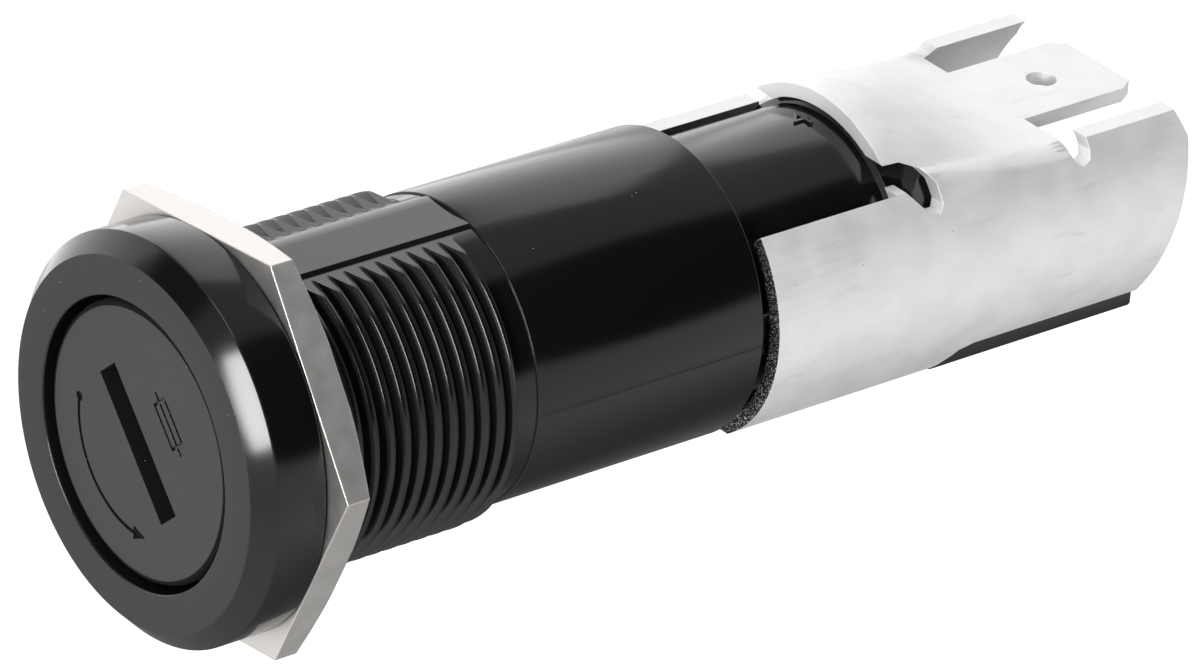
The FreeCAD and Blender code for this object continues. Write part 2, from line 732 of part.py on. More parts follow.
def make_spring():
    """A compression spring: a wire swept along a helix, with its ends on the two seats.

    The wire's section has sixteen sides, because one round face that winds four times meshes badly.
    """
    start = fuse_start + fuse_length + plunger_head + rest_gap * 2 + spring_wire
    end = tube_end - end_wall - rivet_head_height - rest_gap - spring_wire
    pitch = (end - start) / spring_turns
    helix = doc.addObject("Part::Helix", "spring_path")
    bind(helix, "Pitch", pitch)
    bind(helix, "Height", end - start)
    bind(helix, "Radius", spring_radius)
    rise = pitch / (spring_radius * (2 * math.pi))
    square_to_wire = Size(90 + math.degrees(math.atan(rise.value)), f"(90 + atan({rise.text}) / 1 deg)")
    ring = doc.addObject("Part::RegularPolygon", "spring_section")
    ring.Polygon = 16
    bind(ring, "Circumradius", spring_wire)
    ring.Placement = Placement(Vector(0, 0, 0), Rotation(Vector(1, 0, 0), square_to_wire.value))
    bind(ring, "Placement.Rotation.Angle", square_to_wire)
    bind(ring, "Placement.Base.x", spring_radius)
    sweep = doc.addObject("Part::Sweep", "spring_wire_sweep")
    sweep.Sections = [ring]
    sweep.Spine = (helix, ["Edge1"])
    sweep.Solid = True
    sweep.Frenet = True
    doc.recompute()
    spring = doc.addObject("Part::Feature", "contact_spring")
    spring.Shape = sweep.Shape
    spring.Placement = Placement(Vector(0, start.value, 0), Rotation(Vector(1, 0, 0), -90))
    return spring


def make_rivet():
    body = new_body("rear_rivet")
    inside = tube_end - end_wall
    outside = tube_end + sheet_wall
    turn(body, "rivet_turning", [
        (0, inside - rivet_head_height),
        (rivet_head, inside - rivet_head_height),
        (rivet_head, inside),
        (rivet_radius, inside),
        (rivet_radius, outside),
        (rivet_tail, outside),
        (rivet_tail * 0.75, outside + rivet_tail_height),
        (0, outside + rivet_tail_height),
    ])
    return body


def make_blade():
    """The lower tab: riveted to the end wall, then bent to lie over the tray."""
    body = new_body("blade_blank")
    low = -(blade_level + sheet_wall / 2)
    sketch = outline(body, "YZ_Plane", "blade_profile", [
        (tube_end, low),
        (tab_end, low),
        (tab_end, low + sheet_wall),
        (tube_end + sheet_wall, low + sheet_wall),
        (tube_end + sheet_wall, blade_upright),
        (tube_end, blade_upright),
    ])
    pad = body.newObject("PartDesign::Pad", "blade_pad")
    pad.Profile = sketch
    bind(pad, "Length", tab_width)
    pad.Midplane = True
    body.Tip = pad
    doc.recompute()
    for name, place, radius in (
        ("inner_bend", (tube_end.value + sheet_wall.value, low.value + sheet_wall.value), bend_radius),
        ("outer_bend", (tube_end.value, low.value), bend_radius + sheet_wall),
    ):
        base = body.Tip
        edge = edge_along_x(base.Shape, place)
        bend = body.newObject("PartDesign::Fillet", name)
        bend.Base = (base, [edge])
        bind(bend, "Radius", radius)
        body.Tip = bend
        doc.recompute()
    rivet_hole = rod("blade_rivet_hole", rivet_radius + fit_gap, tube_end - 1, tube_end + sheet_wall + 1)
    level = -blade_level
    cuts = [rivet_hole, tab_hole_rod("lower_tab_hole", level)]
    cuts += tab_corner_cuts("lower", level)
    return cut("rear_blade", body, fuse("blade_cuts", cuts))


def edge_along_x(shape, place):
    """Name of the edge that runs along X at a place in the YZ plane."""
    for number, edge in enumerate(shape.Edges, 1):
        middle = edge.CenterOfMass
        flat = edge.BoundBox.YLength < 1e-6 and edge.BoundBox.ZLength < 1e-6
        if flat and abs(middle.y - place[0]) < 1e-4 and abs(middle.z - place[1]) < 1e-4:
            return f"Edge{number}"
    raise ValueError(f"no edge at {place}")


def tab_hole_rod(name, level):
    """A rod through a tab, for the dimple hole that a receptacle latches on."""
    hole = doc.addObject("Part::Cylinder", name)
    bind(hole, "Radius", tab_hole)
    bind(hole, "Height", sheet_wall * 3)
    bind(hole, "Placement.Base.y", tab_hole_place)
    bind(hole, "Placement.Base.z", level - sheet_wall * 1.5)
    return hole


def tab_corner_cuts(name, level):
    """Two wedges that cut the corners of a tab's end, so that a receptacle slides on."""
    cuts = []
    half = tab_width.value / 2
    end = tab_end.value
    spare = sheet_wall.value
    low = level.value - sheet_wall.value
    for side in (1, -1):
        corners = [
            Vector(half * side, end - tab_corner.value, low),
            Vector((half - tab_corner_side.value) * side, end, low),
            Vector((half - tab_corner_side.value) * side, end + spare, low),
            Vector((half + spare) * side, end + spare, low),
            Vector((half + spare) * side, end - tab_corner.value, low),
        ]
        face = Part.Face(Part.makePolygon(corners + corners[:1]))
        wedge = doc.addObject("Part::Feature", f"{name}_corner_{'near' if side > 0 else 'far'}")
        wedge.Shape = face.extrude(Vector(0, 0, sheet_wall.value * 2))
        cuts.append(wedge)
    return cuts


# Terminal sheet: two wings round the tube, a crown that flattens into the tab


def wing_point(radius, angle):
    turned = math.radians(angle)
    return radius * math.cos(turned), radius * math.sin(turned) - wing_drop.value


def wing_angle(height, radius):
    """Angle round the wings' centre of a point at a height above the axis, in degrees."""
    return math.degrees(math.asin((height + wing_drop.value) / radius))


def crown_section(place, flatness):
    """The closed section of the sheet at one place: wings, bends and crown, outside then inside."""
    thick = sheet_wall.value
    outer_wing = wing_radius.value
    foot_front = wing_angle(wing_top.value, outer_wing - thick) + crown_spare.value
    foot_rear = wing_angle(tab_top.value - crown_bend.value, outer_wing)
    foot = foot_front + (foot_rear - foot_front) * flatness
    low = crown_reach.value
    faces = []
    for offset in (0.0, thick):
        radius = crown_radius.value - offset
        round_half = crown_half.value * radius / crown_radius.value
        flat_half = crown_half.value
        half = round_half + (flat_half - round_half) * flatness
        round_end = math.sqrt(radius ** 2 - round_half ** 2)
        flat_top = tab_top.value - offset
        end = round_end + (flat_top - round_end) * flatness
        top = radius + (flat_top - radius) * flatness
        foot_x, foot_z = wing_point(outer_wing - offset, foot)
        reach = foot_x - half
        drop = end - foot_z
        round_mid = (half + reach * 0.55, end - drop * 0.42)
        bend = (reach ** 2 + drop ** 2) / (2 * drop) if drop > 0 else 1.0
        angle = (math.pi / 2 + math.atan2(bend - drop, reach)) / 2
        flat_mid = (half + bend * math.cos(angle), end - bend + bend * math.sin(angle))
        mid_x = round_mid[0] + (flat_mid[0] - round_mid[0]) * flatness
        mid_z = round_mid[1] + (flat_mid[1] - round_mid[1]) * flatness
        low_x, low_z = wing_point(outer_wing - offset, low)
        side_x, side_z = wing_point(outer_wing - offset, (low + foot) / 2)
        faces.append([
            (low_x, low_z), (side_x, side_z), (foot_x, foot_z), (mid_x, mid_z),
            (half, end), (0, top), (-half, end), (-mid_x, mid_z),
            (-foot_x, foot_z), (-side_x, side_z), (-low_x, low_z),
        ])
    outside, inside = [[Vector(x, place, z) for x, z in points] for points in faces]
    inside.reverse()
    edges = []
    for points in (outside, inside):
        for i in range(0, 10, 2):
            a, b, c = points[i:i + 3]
            straight = abs(a.z - c.z) < 1e-9 and abs(a.z - b.z) < 1e-9
            edges.append(Part.makeLine(a, c) if straight else Part.Arc(a, b, c).toShape())
        other = inside[0] if points is outside else outside[0]
        edges.append(Part.makeLine(points[-1], other))
    return Part.Wire(edges)


def make_crown(end):
    start = crown_start.value
    flat = crown_flat.value
    length = flat - start
    stations = [(0.0, 0.0), (0.14, 0.05), (0.5, 0.5), (0.86, 0.95), (1.0, 1.0)]
    sections = [crown_section(start + length * along, flatness) for along, flatness in stations]
    crown = doc.addObject("Part::Feature", "crown_form")
    form = Part.makeLoft(sections, True, False)
    last = Part.Face(sections[-1]).extrude(Vector(0, end.value - flat, 0))
    crown.Shape = form.fuse(last)
    return crown


def wing_ring(name, start, end):
    """The two wings as one ring about their own centre, open above the wings' top edges."""
    ring = cut(f"{name}_ring", rod(f"{name}_outside", wing_radius, start, end),
               rod(f"{name}_inside", wing_radius - sheet_wall, start - 1, end + 1))
    for feature in (doc.getObject(f"{name}_outside"), doc.getObject(f"{name}_inside")):
        bind(feature, "Placement.Base.z", -wing_drop)
    top = block(None, f"{name}_open_top", "Part::Box", (-far, start - 1, wing_top), (far, end + 1, far))
    return cut(name, ring, top)


def make_side_view():
    """The wings' outline seen from the side: leaning ends and the step in the lower edge."""
    body = new_body("side_view")
    rear_low = wing_rear - wing_rear_slant
    outline_points = [
        (wing_front + wing_front_slant, -wing_keel),
        (wing_step, -wing_keel),
        (wing_step, -(wing_sill + 1.1)),
        (wing_step + 0.35, -(wing_sill + 0.3)),
        (wing_step + 1.2, -wing_sill),
        (rear_low, -wing_sill),
        (wing_rear, wing_top - wing_corner * 1.4),
        (wing_rear - wing_corner * 0.45, wing_top),
        (wing_rear - wing_corner * 0.45, far),
        (wing_front - wing_front_slant * 0.2, far),
        (wing_front, wing_top),
    ]
    sketch = outline(body, "YZ_Plane", "side_outline", outline_points)
    pad = body.newObject("PartDesign::Pad", "side_pad")
    pad.Profile = sketch
    bind(pad, "Length", far * 2)
    pad.Midplane = True
    body.Tip = pad
    return body


def side_prism(name, points):
    """A prism through both wings, from an outline of (along the axis, height) points."""
    corners = [Vector(-far.value, y, z) for y, z in points]
    prism = doc.addObject("Part::Feature", name)
    prism.Shape = Part.Face(Part.makePolygon(corners + corners[:1])).extrude(Vector(far.value * 2, 0, 0))
    return prism


def make_notch():
    """The oblique relief between the wing's forward part and the crown, with a round bottom."""
    front, rear = notch_front.value, notch_rear.value
    bottom, top = notch_bottom.value, wing_top.value
    soft = notch_round.value
    crown_front = crown_start.value
    mouth = crown_mouth.value
    return side_prism("side_notch", [
        (front, top),
        (rear - soft * 2.2, bottom + soft * 0.5),
        (rear - soft * 1.3, bottom),
        (rear - soft * 0.6, bottom),
        (rear, bottom + soft * 0.8),
        (rear, top),
        (rear - soft, top + mouth * 0.55),
        (front + soft, top + mouth * 0.95),
        (crown_front, top + mouth),
        (crown_front - soft, top + mouth),
        (crown_front - soft, top),
    ])


def make_slit():
    """The slit behind the crown that frees the rear part of each wing."""
    end, rear = crown_end.value, slit_rear.value
    bottom, top = slit_bottom.value, wing_top.value
    soft = (rear - end) / 2
    return side_prism("rear_slit", [
        (end, top + 1),
        (end, bottom + soft),
        (end + soft * 0.3, bottom + soft * 0.3),
        (end + soft, bottom),
        (rear - soft * 0.3, bottom + soft * 0.3),
        (rear, bottom + soft),
        (rear, top + 1),
    ])


def make_terminal_sheet():
    """Everything is trimmed to the side view, and the tab is added last."""
    middle_of_slit = (crown_end + slit_rear) / 2
    crown = make_crown(middle_of_slit)
    front = wing_ring("front_wings", wing_front - 1, crown_start)
    rear = wing_ring("rear_wings", middle_of_slit, wing_rear + 1)
    blank = fuse("sheet_blank", [front, crown, rear])
    trimmed = common("sheet_trimmed", blank, make_side_view())
    opened = cut("sheet_opened", trimmed, fuse("sheet_reliefs", [make_notch(), make_slit()]))
    tab = block(None, "upper_tab", "Part::Box",
                (-(tab_width / 2), crown_end - sheet_wall, tab_top - sheet_wall),
                (tab_width / 2, tab_end, tab_top))
    whole = fuse("sheet_with_tab", [opened, tab])
    level = tab_top - sheet_wall / 2
    cuts = [tab_hole_rod("upper_tab_hole", level)] + tab_corner_cuts("upper", level)
    return cut("terminal_sheet", whole, fuse("upper_tab_cuts", cuts))


# Hexagon nut with a bevelled rear face


def make_nut():
    body = new_body("nut_turning")
    front = nut_rest
    back = nut_rest + nut_height
    turn(body, "nut_ring", [
        (nut_bore, front + nut_lead),
        (nut_bore + nut_lead, front),
        (nut_radius + 1, front),
        (nut_radius + 1, back - nut_bevel * (nut_radius + 1 - nut_chamfer_radius)
         / (nut_radius - nut_chamfer_radius)),
        (nut_chamfer_radius, back),
        (nut_bore + nut_lead, back),
        (nut_bore, back - nut_lead),
    ])
    prism = doc.addObject("Part::Prism", "nut_hexagon")
    prism.Polygon = 6
    bind(prism, "Circumradius", nut_radius)
    bind(prism, "Height", nut_height)
    lay = Rotation(Vector(1, 0, 0), -90).multiply(Rotation(Vector(0, 0, 1), -nut_angle.value))
    prism.Placement = Placement(Vector(0, 0, 0), lay)
    bind(prism, "Placement.Base.y", front)
    return common("hex_nut", body, prism)


pieces = [make_housing(), make_cap(), make_seal(), make_clip()]
pieces += make_fuse()
pieces += [make_front_contact(), make_plunger(), make_spring(), make_rivet(), make_blade()]
pieces += [make_terminal_sheet(), make_nut()]
doc.recompute()

for thing in doc.Objects:
    if "Invalid" in thing.State or "Error" in thing.State:
        raise RuntimeError(f"{thing.Name} failed: {thing.State}")

os.makedirs("parts", exist_ok=True)
for piece in pieces:
    shape = piece.Shape
    if shape.isNull() or not shape.isValid():
        raise RuntimeError(f"{piece.Label} has no valid shape")
    shape.exportStep(f"parts/{piece.Label}.step")
    print(piece.Label, len(shape.Solids), round(shape.Volume, 2))
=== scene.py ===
# %% [markdown]
# # A panel mount fuse holder
# This lesson gives a small electrical part its looks. The real object is a black moulding with a
# threaded barrel and a slotted cap, a plated nut, and one folded piece of plated sheet that ends in
# a push-on tab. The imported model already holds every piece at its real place. Most of the work here
# is one detailed moulding with a true thread, and finishes that catch the light as the real ones do.

import json
import math

import bmesh
import bpy
from mathutils import Matrix, Vector


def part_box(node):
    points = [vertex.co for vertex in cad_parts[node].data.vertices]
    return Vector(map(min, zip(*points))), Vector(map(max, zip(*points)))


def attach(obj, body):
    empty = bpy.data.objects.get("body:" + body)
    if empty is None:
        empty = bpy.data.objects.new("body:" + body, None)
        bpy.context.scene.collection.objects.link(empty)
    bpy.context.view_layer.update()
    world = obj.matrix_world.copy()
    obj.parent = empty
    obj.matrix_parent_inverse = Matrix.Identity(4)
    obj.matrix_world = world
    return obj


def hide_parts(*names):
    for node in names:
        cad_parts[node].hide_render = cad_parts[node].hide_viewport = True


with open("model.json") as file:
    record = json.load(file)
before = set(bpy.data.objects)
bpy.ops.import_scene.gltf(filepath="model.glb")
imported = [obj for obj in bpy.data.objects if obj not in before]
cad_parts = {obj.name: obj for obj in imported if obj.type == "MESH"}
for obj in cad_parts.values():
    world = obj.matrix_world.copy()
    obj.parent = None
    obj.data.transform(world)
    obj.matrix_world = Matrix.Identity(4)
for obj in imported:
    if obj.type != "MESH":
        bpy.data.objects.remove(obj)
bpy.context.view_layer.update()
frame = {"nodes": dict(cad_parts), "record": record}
MM = 0.001
print("nodes:", ", ".join(sorted(frame["nodes"])))

# %% [markdown]
# ## Camera
# The photograph was taken with a long lens from the front right, a little above the part. Three
# directions describe the camera: to the right of the picture, up, and back towards the lens. They
# form the columns of its rotation, so nothing has to be aimed afterwards.

# %% Place the camera
camera_data = bpy.data.cameras.new("camera")
camera_data.lens = 276.2
camera_data.sensor_width = 36
camera_data.clip_start = 0.01
camera = bpy.data.objects.new("camera", camera_data)
bpy.context.scene.collection.objects.link(camera)
to_right = (0.61944649, 0.7820139, 0.06884988)
to_top = (-0.40872662, 0.24639098, 0.87876848)
to_lens = (0.67024518, -0.57249082, 0.47225593)
lens_place = (0.32306, -0.24962, 0.22541)
camera_axes = Matrix((to_right, to_top, to_lens)).transposed().to_4x4()
camera.matrix_world = Matrix.Translation(lens_place) @ camera_axes
bpy.context.scene.camera = camera
bpy.context.scene.view_settings.view_transform = "Standard"

# %% [markdown]
# ## Shader maths
# Nodes are easier to read as arithmetic. The class below wraps one output socket, and Python's
# operators on it add Math nodes. Every other kind of node comes from one method, which makes the
# node's settings first and fills its sockets after that.


# %% Sockets that can be added and multiplied
class Wire:
    """One output of a node. Operators on it add Math nodes to the same tree."""

    def __init__(self, tree, socket=None):
        self.tree = tree
        self.socket = socket

    def node(self, kind, settings=None, inputs=None, output=0):
        """Add a node, make its settings, fill its sockets with wires or values."""
        made = self.tree.nodes.new("ShaderNode" + kind)
        for name, setting in (settings or {}).items():
            setattr(made, name, setting)
        for name, given in (inputs or {}).items():
            if isinstance(given, Wire):
                self.tree.links.new(given.socket, made.inputs[name])
            else:
                made.inputs[name].default_value = given
        return Wire(self.tree, made.outputs[output])

    def maths(self, operation, *given):
        """A Math node on the given wires and numbers. The wire it is called on takes no part."""
        return self.node("Math", {"operation": operation}, dict(enumerate(given)))

    def __add__(self, other):
        return self.maths("ADD", self, other)

    def __sub__(self, other):
        return self.maths("SUBTRACT", self, other)

    def __mul__(self, other):
        return self.maths("MULTIPLY", self, other)

    def __radd__(self, other):
        return self.maths("ADD", other, self)

    def __rsub__(self, other):
        return self.maths("SUBTRACT", other, self)

    def __rmul__(self, other):
        return self.maths("MULTIPLY", other, self)

    def step(self, start, end):
        """0 below start and 1 above end, with a soft change between."""
        inputs = {"Value": self, "From Min": start, "From Max": end}
        return self.node("MapRange", {"interpolation_type": "SMOOTHSTEP"}, inputs)

    def between(self, a, b):
        """Mix two colours or numbers, with this wire as the factor."""
        numbers = isinstance(a, (int, float)) or isinstance(b, (int, float))
        kind, first, second, output = ("FLOAT", 2, 3, 0) if numbers else ("RGBA", 6, 7, 2)
        return self.node("Mix", {"data_type": kind}, {0: self, first: a, second: b}, output)


def grey(level, warm=0.0):
    """A grey with a little warmth: red up and blue down by the same share."""
    return (level * (1 + warm), level, level * (1 - warm), 1.0)


# %% [markdown]
# ## What every finish shares
# A finish starts from one Principled shader. Its plain numbers are set on the shader's own sockets,
# and what changes over the surface is linked. Real edges are never razor sharp, so a Bevel node
# rounds the normals over a few hundredths of a millimetre, and fine bumps are added on top.


# %% A finish and its edges
class Finish:
    """A material under construction, with the wires that most finishes need."""

    def __init__(self, name, **plain):
        self.material = bpy.data.materials.new(name)
        self.material.use_nodes = True
        self.tree = self.material.node_tree
        self.shader = self.tree.nodes["Principled BSDF"]
        for socket, value in plain.items():
            self.shader.inputs[socket.replace("_", " ")].default_value = value
        self.start = Wire(self.tree)
        self.place = self.start.node("TexCoord", output="Object")

    def link(self, socket, wire):
        self.tree.links.new(wire.socket, self.shader.inputs[socket])

    def axis(self, name):
        """Distance along one axis of the part, in millimetres."""
        return self.start.node("SeparateXYZ", None, {"Vector": self.place}, name) * (1 / MM)

    def noise(self, size_mm, detail=2.0, stretch=(1, 1, 1)):
        """Soft random values around 0.5, with features of about a size in millimetres."""
        scale = tuple(1 / (MM * size_mm * part) for part in stretch)
        spread = self.start.node("Mapping", None, {"Vector": self.place, "Scale": scale})
        return self.start.node("TexNoise", None, {"Vector": spread, "Scale": 1.0, "Detail": detail})

    def specks(self, spacing_mm, size):
        """Sparse round specks: 1 inside each, 0 elsewhere."""
        inputs = {"Vector": self.place, "Scale": 1 / (MM * spacing_mm)}
        cells = self.start.node("TexVoronoi", None, inputs, "Distance")
        chance = self.start.node("TexVoronoi", None, inputs, "Color")
        chosen = self.start.node("SeparateColor", None, {"Color": chance}, "Red").step(0.62, 0.64)
        return (1 - cells.step(size * 0.6, size)) * chosen

    def surface(self, edge_mm, height=None, depth_mm=0.01):
        """Round the edges, add fine bumps, and feed the normal."""
        inputs = {"Radius": edge_mm * MM}
        normal = self.start.node("Bevel", {"samples": 6}, inputs)
        if height is not None:
            inputs = {"Height": height, "Distance": depth_mm * MM, "Normal": normal}
            normal = self.start.node("Bump", None, inputs)
        self.link("Normal", normal)
        return self.material


# %% [markdown]
# ## Faces with a finish of their own
# Some faces differ from the rest of their piece: the textured fronts of the ring and the cap, and
# the sheared front ends of the sheet's wings, which lean back as they go down and carry painted shade
# with painted glints. A finish tells them apart by their place along the barrel, so it needs no
# second material.

# %% Places of those faces along the barrel, in millimetres
ring_face, cap_face, wing_end, wing_slant = -3.99, -3.64, 31.21, 0.0358
fade = 0.02

# %% [markdown]
# ## Black moulding
# The barrel and body are moulded in a glossy black plastic. Its colour hardly shows: what is seen is
# the room in its satin surface. The front ring has a fine spark-eroded texture, so it is matt and
# reads as dark grey. A few pale specks of dust lie on it, as on every moulding that was handled.


# %% Finish of the housing
def black_plastic():
    finish = Finish("black_plastic", Specular_IOR_Level=0.34)
    front = 1 - finish.axis("Y").step(ring_face, ring_face + fade)
    grain = finish.noise(0.09, 3.0)
    cloud = finish.noise(4.0, 3.0)
    dust = finish.specks(1.1, 0.035)
    colour = front.between(grey(0.004), grey(0.022))
    colour = dust.between(colour, grey(0.3))
    finish.link("Base Color", colour)
    smooth = 0.12 + cloud * 0.06
    finish.link("Roughness", front.between(smooth, 0.62))
    return finish.surface(0.04, front.between(cloud * 0.08, grain), 0.012)


# %% [markdown]
# ## Cap
# The cap is the same plastic with the eroded texture all over its face, so it looks like the ring
# around it. Its slot and the gap round it stay nearly black.


# %% Finish of the cap
def cap_plastic():
    finish = Finish("cap_plastic", IOR=1.5, Specular_IOR_Level=0.2)
    face = 1 - finish.axis("Y").step(cap_face, cap_face + fade)
    grain = finish.noise(0.09, 3.0)
    dust = finish.specks(1.0, 0.03)
    colour = face.between(grey(0.002), grey(0.045))
    finish.link("Base Color", dust.between(colour, grey(0.3)))
    finish.link("Roughness", face.between(0.95, 0.6 + finish.noise(2.5) * 0.06))
    return finish.surface(0.06, grain, 0.012)


# %% [markdown]
# ## Plated metals
# The nut is nickel on brass: a warm grey with faint turning marks. The sheet is tin on brass, much
# paler, and soft enough to carry small dents and specks from handling. The sheared front ends of its
# wings are painted near black, a painted shade for the dark body they mirror, with bright grains as
# painted glints. Both are true metals, so their colour is the colour of what they reflect, and their
# roughness decides how much it blurs.


# %% Finishes of the nut, the sheet and the small inner pieces
def nickel():
    """The nut: warm grey, with a fine grain."""
    finish = Finish("nickel_nut", Metallic=1.0)
    cloud = finish.noise(1.2, 3.0)
    finish.link("Base Color", cloud.between(grey(0.60, 0.03), grey(0.68, 0.03)))
    finish.link("Roughness", 0.42 + cloud * 0.1)
    return finish.surface(0.12, finish.noise(0.2, 3.0), 0.002)


def tinned():
    """The terminals: pale and satin, with rubbed places and pits. The sheared ends carry
    painted shade and painted glints.
    """
    finish = Finish("tinned_sheet", Metallic=1.0)
    cloud = finish.noise(2.2, 4.0)
    streak = finish.noise(0.25, 3.0, (1, 9, 1))
    pits = finish.specks(0.9, 0.05)
    rubbed = finish.noise(0.9, 5.0, (1, 3.5, 1)).step(0.6, 0.78)
    plate = cloud.step(0.3, 0.7).between(grey(0.80, 0.008), grey(0.84, 0.004))
    plate = rubbed.between(plate, grey(0.74, 0.015))
    plate = pits.between(plate, grey(0.35))
    # The sheared wing ends are real, but their colour is painted: near black as painted shade for the
    # dark body they mirror, with bright grains as painted glints.
    painted_shade_and_glints = finish.noise(0.08, 2.0).step(0.56, 0.64).between(grey(0.03), grey(0.7))
    along = finish.axis("Y") + finish.axis("Z") * wing_slant
    end = 1 - along.step(wing_end, wing_end + fade)
    finish.link("Base Color", end.between(plate, painted_shade_and_glints))
    finish.link("Roughness", 0.56 + cloud * 0.1 + streak * 0.06)
    return finish.surface(0.05, cloud * 0.7 + streak * 0.15 - pits * 0.5, 0.03)


def plated(name, level, warm, rough):
    """The small inner contacts: bright plating with a slight cloud."""
    finish = Finish(name, Metallic=1.0)
    cloud = finish.noise(0.8, 3.0)
    finish.link("Base Color", cloud.between(grey(level * 0.92, warm), grey(level, warm)))
    finish.link("Roughness", rough + cloud * 0.08)
    return finish.surface(0.04, cloud, 0.003)


def rubber():
    """The seal in the cap's groove."""
    finish = Finish("seal_rubber")
    grain = finish.noise(0.15, 2.0)
    finish.link("Base Color", grain.between(grey(0.012), grey(0.02)))
    finish.link("Roughness", 0.6 + grain * 0.1)
    return finish.surface(0.03, grain, 0.01)


def clear_glass():
    """The fuse's tube."""
    finish = Finish("fuse_glass", Transmission_Weight=1.0, IOR=1.5, Base_Color=grey(0.97))
    finish.link("Roughness", finish.noise(3.0) * 0.04)
    return finish.surface(0.04)


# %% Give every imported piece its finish
finishes = {
    "black_plastic": black_plastic(),
    "cap_plastic": cap_plastic(),
    "seal_rubber": rubber(),
    "nickel_nut": nickel(),
    "tinned_sheet": tinned(),
    "contact_metal": plated("contact_metal", 0.78, 0.05, 0.22),
    "spring_steel": plated("spring_steel", 0.6, 0.0, 0.25),
    "fuse_metal": plated("fuse_metal", 0.75, 0.02, 0.2),
    "fuse_glass": clear_glass(),
    "fuse_element": plated("fuse_element", 0.75, 0.03, 0.2),
}
slots = {part["node"]: part["material_slot"] for part in frame["record"]["subparts"]}
for name, node in frame["nodes"].items():
    node.data.materials.clear()
    node.data.materials.append(finishes[slots[name]])
print("finishes:", len(finishes))

# %% [markdown]
# ## Rings into solids
# The moulding is built as rings of points that are joined one to the next, like hoops on a barrel.
# The last ring meets the first one again through the bore, so the mesh is closed with no caps.


# %% Join rings into a closed mesh
merge, sharp_degrees = 1e-7, 32


def from_rings(name, rings, slot):
    """A closed mesh from rings of equal length, given in millimetres."""
    mesh = bmesh.new()
    rows = [[mesh.verts.new(Vector(point) * MM) for point in ring] for ring in rings]
    for row, following in zip(rows, rows[1:] + rows[:1]):
        for i in range(len(row)):
            k = (i + 1) % len(row)
            mesh.faces.new((row[i], row[k], following[k], following[i]))
    bmesh.ops.remove_doubles(mesh, verts=mesh.verts, dist=merge)
    bmesh.ops.dissolve_degenerate(mesh, edges=mesh.edges, dist=merge)
    bmesh.ops.recalc_face_normals(mesh, faces=mesh.faces)
    print(name, "open edges:", sum(not edge.is_manifold for edge in mesh.edges))
    return as_object(name, mesh, slot)


def as_object(name, mesh, slot):
    """A mesh under construction becomes an object with its finish and smooth shading."""
    data = bpy.data.meshes.new(name)
    mesh.to_mesh(data)
    mesh.free()
    data.materials.append(finishes[slot])
    data.shade_smooth()
    data.set_sharp_from_angle(angle=math.radians(sharp_degrees))
    made = bpy.data.objects.new(name, data)
    bpy.context.scene.collection.objects.link(made)
    return made


def in_place_of(made, node, body):
    """Let a new piece take the place of a packed one and move with that one's body."""
    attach(made, body)
    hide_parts(node)


def rounded(corners, steps=4):
    """A profile of (radius, place) corners. A third number rounds that corner with an arc."""
    line = []
    for i, corner in enumerate(corners):
        here = Vector(corner[:2])
        if len(corner) == 2:
            line.append(tuple(here))
            continue
        to_last = (Vector(corners[i - 1][:2]) - here).normalized()
        to_next = (Vector(corners[(i + 1) % len(corners)][:2]) - here).normalized()
        half = to_last.angle(to_next) / 2
        reach = corner[2] / math.tan(half)
        centre = here + (to_last + to_next).normalized() * corner[2] / math.sin(half)
        first = here + to_last * reach - centre
        last = here + to_next * reach - centre
        turn = first.angle_signed(last)
        for k in range(steps + 1):
            arm = first.copy()
            arm.rotate(Matrix.Rotation(-turn * k / steps, 2))
            line.append(tuple(centre + arm))
    return line


# %% [markdown]
# ## Section of the barrel
# Behind the flange the barrel has a flat on top with a low rib along it. Each ring there starts on
# the rib, runs over the flat to where the flat meets the round, and follows the round underneath.
# The meeting point moves in and out with every thread groove, and that draws the saw teeth along
# the flat. Two narrow ridges on the round are the parting lines of the mould.

# %% Sizes of the moulding, in millimetres
housing_low, housing_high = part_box("housing")
flange = housing_high[0] / MM
front_ring = housing_low[1] / MM
crest, root, pitch = 8.98, 8.39, 1.0
thread_start, thread_end = 2.3, 14.1
neck, body_start, body = 8.33, 15.4, 8.43
flat_level, rib_level, rib_half, rib_foot = 8.05, 8.25, 1.85, 2.1
rib_wear = (0.22, 0.09)
shoulder, tube, collar_start, collar, tube_end = 30.3, 7.15, 40.4, 7.45, 41.2
skirt_bore, skirt_end = 6.45, 43.8
seam_rise, seam_degrees, seam_from = 0.018, 0.3, 7.9
side_columns, under_columns, flat_columns, rib_columns = 38, 110, 6, 6
first_guess, settling = 66.0, 6


# %% One ring of the moulding
def spread(start, end, count):
    """Even steps from start up to, but not including, end."""
    return [start + (end - start) * k / count for k in range(count)]


def round_angles(first):
    """Angles round the barrel, from the near end of the flat under it to the far end."""
    return (spread(first, seam_degrees, side_columns)
            + [seam_degrees, 0, -seam_degrees]
            + spread(-seam_degrees * 2, -180 + seam_degrees * 2, under_columns)
            + [-180 + seam_degrees, -180, -180 - seam_degrees]
            + spread(-180 - seam_degrees * 2, -180 - first, side_columns)
            + [-180 - first])


def flat_end(radius):
    """Angle at which a circle of this radius meets the flat."""
    return math.degrees(math.asin(flat_level / radius))


